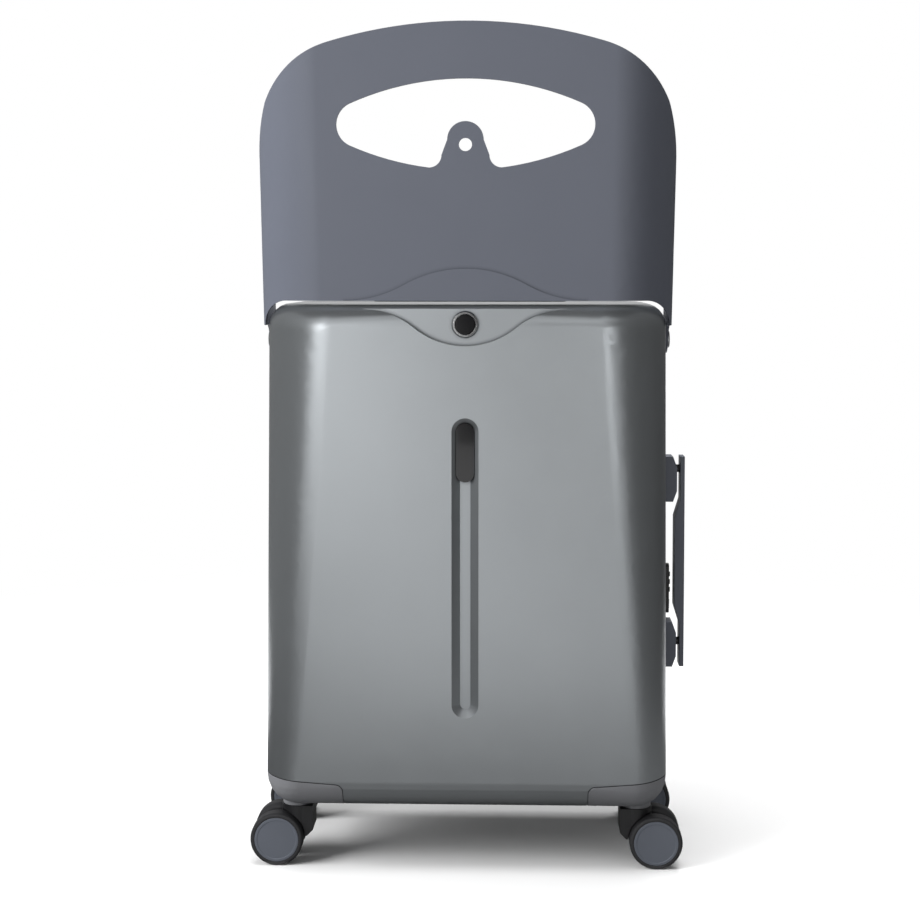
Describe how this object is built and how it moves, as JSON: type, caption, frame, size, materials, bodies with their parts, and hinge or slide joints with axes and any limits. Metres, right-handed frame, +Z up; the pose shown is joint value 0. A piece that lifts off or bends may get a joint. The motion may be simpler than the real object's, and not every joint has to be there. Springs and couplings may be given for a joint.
{
  "type": "ride on suitcase",
  "caption": "Upright hard-shell cabin suitcase with a fold-over child's backrest, zip-opened halves, telescopic pull handle, side carry handle, dial lock and swivelling twin-wheel casters.",
  "frame": {"origin": "on the floor under the middle of the case", "axes": "+X to the right seen from the front, +Y to the back, +Z up"},
  "size_m": [0.434, 0.22, 0.825],
  "materials": {
    "shell": "satin metallic grey polycarbonate with a fine moulded grain",
    "backrest": "matt slate grey moulded plastic",
    "caps": "fine-grained mid grey plastic",
    "black_plastic": "satin black plastic",
    "gloss_black": "polished black plastic",
    "tyre": "matt dark rubber",
    "hub": "satin blue-grey plastic",
    "cloth": "dark woven lining",
    "tape": "dark woven zip tape",
    "chrome": "bright plated",
    "tube": "anodised, brushed along its length",
    "steel": "plain zinc plated"
  },
  "bodies": {
    "front_case": {"front_shell": "shell", "front_corner_caps": "caps", "front_zip_tape": "tape", "front_lining": "cloth", "badge_plate": "gloss_black", "button_bezel": "chrome", "button_spring": "steel", "front_swivel_pins": "steel", "lock_housing": "black_plastic", "side_handle_sockets": "backrest", "side_handle_springs": "steel", "zip_sliders": "steel", "pivot_pins": "steel"},
    "rear_case": {"rear_shell": "shell", "rear_corner_caps": "caps", "rear_zip_tape": "tape", "rear_lining": "cloth", "hinge_tape": "tape", "handle_well": "black_plastic", "outer_tubes": "tube", "tube_collars": "black_plastic", "tube_foot": "black_plastic", "rear_swivel_pins": "steel"},
    "release_button": {"release_button": "gloss_black"},
    "backrest": {"backrest": "backrest"},
    "handle_middle": {"middle_tubes": "tube"},
    "handle_top": {"inner_tubes": "tube", "grip": "black_plastic"},
    "grip_button": {"grip_button": "gloss_black", "latch_rods": "steel"},
    "side_handle": {"side_handle_bar": "backrest", "side_handle_posts": "black_plastic"},
    "lock_dial_1": {"lock_dial_1": "gloss_black"},
    "lock_dial_2": {"lock_dial_2": "gloss_black"},
    "lock_dial_3": {"lock_dial_3": "gloss_black"},
    "lock_catch": {"lock_catch": "chrome"},
    "front_left_caster": {"front_left_fork": "black_plastic", "front_left_axle": "steel"},
    "front_left_fore_wheel": {"front_left_fore_tyre": "tyre", "front_left_fore_hub_cap": "hub"},
    "front_left_aft_wheel": {"front_left_aft_tyre": "tyre", "front_left_aft_hub_cap": "hub"},
    "front_right_caster": {"front_right_fork": "black_plastic", "front_right_axle": "steel"},
    "front_right_fore_wheel": {"front_right_fore_tyre": "tyre", "front_right_fore_hub_cap": "hub"},
    "front_right_aft_wheel": {"front_right_aft_tyre": "tyre", "front_right_aft_hub_cap": "hub"},
    "rear_left_caster": {"rear_left_fork": "black_plastic", "rear_left_axle": "steel"},
    "rear_left_fore_wheel": {"rear_left_fore_tyre": "tyre", "rear_left_fore_hub_cap": "hub"},
    "rear_left_aft_wheel": {"rear_left_aft_tyre": "tyre", "rear_left_aft_hub_cap": "hub"},
    "rear_right_caster": {"rear_right_fork": "black_plastic", "rear_right_axle": "steel"},
    "rear_right_fore_wheel": {"rear_right_fore_tyre": "tyre", "rear_right_fore_hub_cap": "hub"},
    "rear_right_aft_wheel": {"rear_right_aft_tyre": "tyre", "rear_right_aft_hub_cap": "hub"}
  },
  "joints": [
    {"name": "case_opening", "type": "hinge", "parent": "front_case", "child": "rear_case", "pos_m": [-0.198, 0.031, 0.305], "axis": [0, 0, 1], "range_deg": [0, 100]},
    {"name": "backrest_fold", "type": "hinge", "parent": "front_case", "child": "backrest", "pos_m": [0, 0.012, 0.517], "axis": [1, 0, 0], "range_deg": [-180, 0]},
    {"name": "handle_lower_slide", "type": "slide", "parent": "rear_case", "child": "handle_middle", "axis": [0, 0, 1], "range_m": [0, 0.215]},
    {"name": "handle_upper_slide", "type": "slide", "parent": "handle_middle", "child": "handle_top", "axis": [0, 0, 1], "range_m": [0, 0.215]},
    {"name": "grip_button_press", "type": "slide", "parent": "handle_top", "child": "grip_button", "axis": [0, 0, -1], "range_m": [0, 0.004], "stiffness_N_per_m": 900, "springref_m": -0.002},
    {"name": "side_handle_pull", "type": "slide", "parent": "front_case", "child": "side_handle", "axis": [1, 0, 0], "range_m": [0, 0.016], "stiffness_N_per_m": 400, "springref_m": -0.004},
    {"name": "release_button_press", "type": "slide", "parent": "front_case", "child": "release_button", "axis": [0, 1, 0], "range_m": [0, 0.003], "stiffness_N_per_m": 600, "springref_m": -0.002},
    {"name": "lock_catch_slide", "type": "slide", "parent": "front_case", "child": "lock_catch", "axis": [0, 0, 1], "range_m": [0, 0.005]},
    {"name": "lock_dial_1_turn", "type": "hinge", "parent": "front_case", "child": "lock_dial_1", "pos_m": [0.2049, 0.0165, 0.273], "axis": [0, 0, 1], "continuous": true},
    {"name": "lock_dial_2_turn", "type": "hinge", "parent": "front_case", "child": "lock_dial_2", "pos_m": [0.2049, 0.0165, 0.265], "axis": [0, 0, 1], "continuous": true},
    {"name": "lock_dial_3_turn", "type": "hinge", "parent": "front_case", "child": "lock_dial_3", "pos_m": [0.2049, 0.0165, 0.257], "axis": [0, 0, 1], "continuous": true},
    {"name": "front_left_swivel", "type": "hinge", "parent": "front_case", "child": "front_left_caster", "pos_m": [-0.168, -0.065, 0.048], "axis": [0, 0, 1], "continuous": true},
    {"name": "front_left_fore_roll", "type": "hinge", "parent": "front_left_caster", "child": "front_left_fore_wheel", "pos_m": [-0.187, -0.0803, 0.026], "axis": [0, 1, 0], "continuous": true},
    {"name": "front_left_aft_roll", "type": "hinge", "parent": "front_left_caster", "child": "front_left_aft_wheel", "pos_m": [-0.187, -0.0497, 0.026], "axis": [0, 1, 0], "continuous": true},
    {"name": "front_right_swivel", "type": "hinge", "parent": "front_case", "child": "front_right_caster", "pos_m": [0.168, -0.065, 0.048], "axis": [0, 0, 1], "continuous": true},
    {"name": "front_right_fore_roll", "type": "hinge", "parent": "front_right_caster", "child": "front_right_fore_wheel", "pos_m": [0.187, -0.0803, 0.026], "axis": [0, 1, 0], "continuous": true},
    {"name": "front_right_aft_roll", "type": "hinge", "parent": "front_right_caster", "child": "front_right_aft_wheel", "pos_m": [0.187, -0.0497, 0.026], "axis": [0, 1, 0], "continuous": true},
    {"name": "rear_left_swivel", "type": "hinge", "parent": "rear_case", "child": "rear_left_caster", "pos_m": [-0.168, 0.065, 0.048], "axis": [0, 0, 1], "continuous": true},
    {"name": "rear_left_fore_roll", "type": "hinge", "parent": "rear_left_caster", "child": "rear_left_fore_wheel", "pos_m": [-0.187, 0.0497, 0.026], "axis": [0, 1, 0], "continuous": true},
    {"name": "rear_left_aft_roll", "type": "hinge", "parent": "rear_left_caster", "child": "rear_left_aft_wheel", "pos_m": [-0.187, 0.0803, 0.026], "axis": [0, 1, 0], "continuous": true},
    {"name": "rear_right_swivel", "type": "hinge", "parent": "rear_case", "child": "rear_right_caster", "pos_m": [0.168, 0.065, 0.048], "axis": [0, 0, 1], "continuous": true},
    {"name": "rear_right_fore_roll", "type": "hinge", "parent": "rear_right_caster", "child": "rear_right_fore_wheel", "pos_m": [0.187, 0.0497, 0.026], "axis": [0, 1, 0], "continuous": true},
    {"name": "rear_right_aft_roll", "type": "hinge", "parent": "rear_right_caster", "child": "rear_right_aft_wheel", "pos_m": [0.187, 0.0803, 0.026], "axis": [0, 1, 0], "continuous": true}
  ]
}
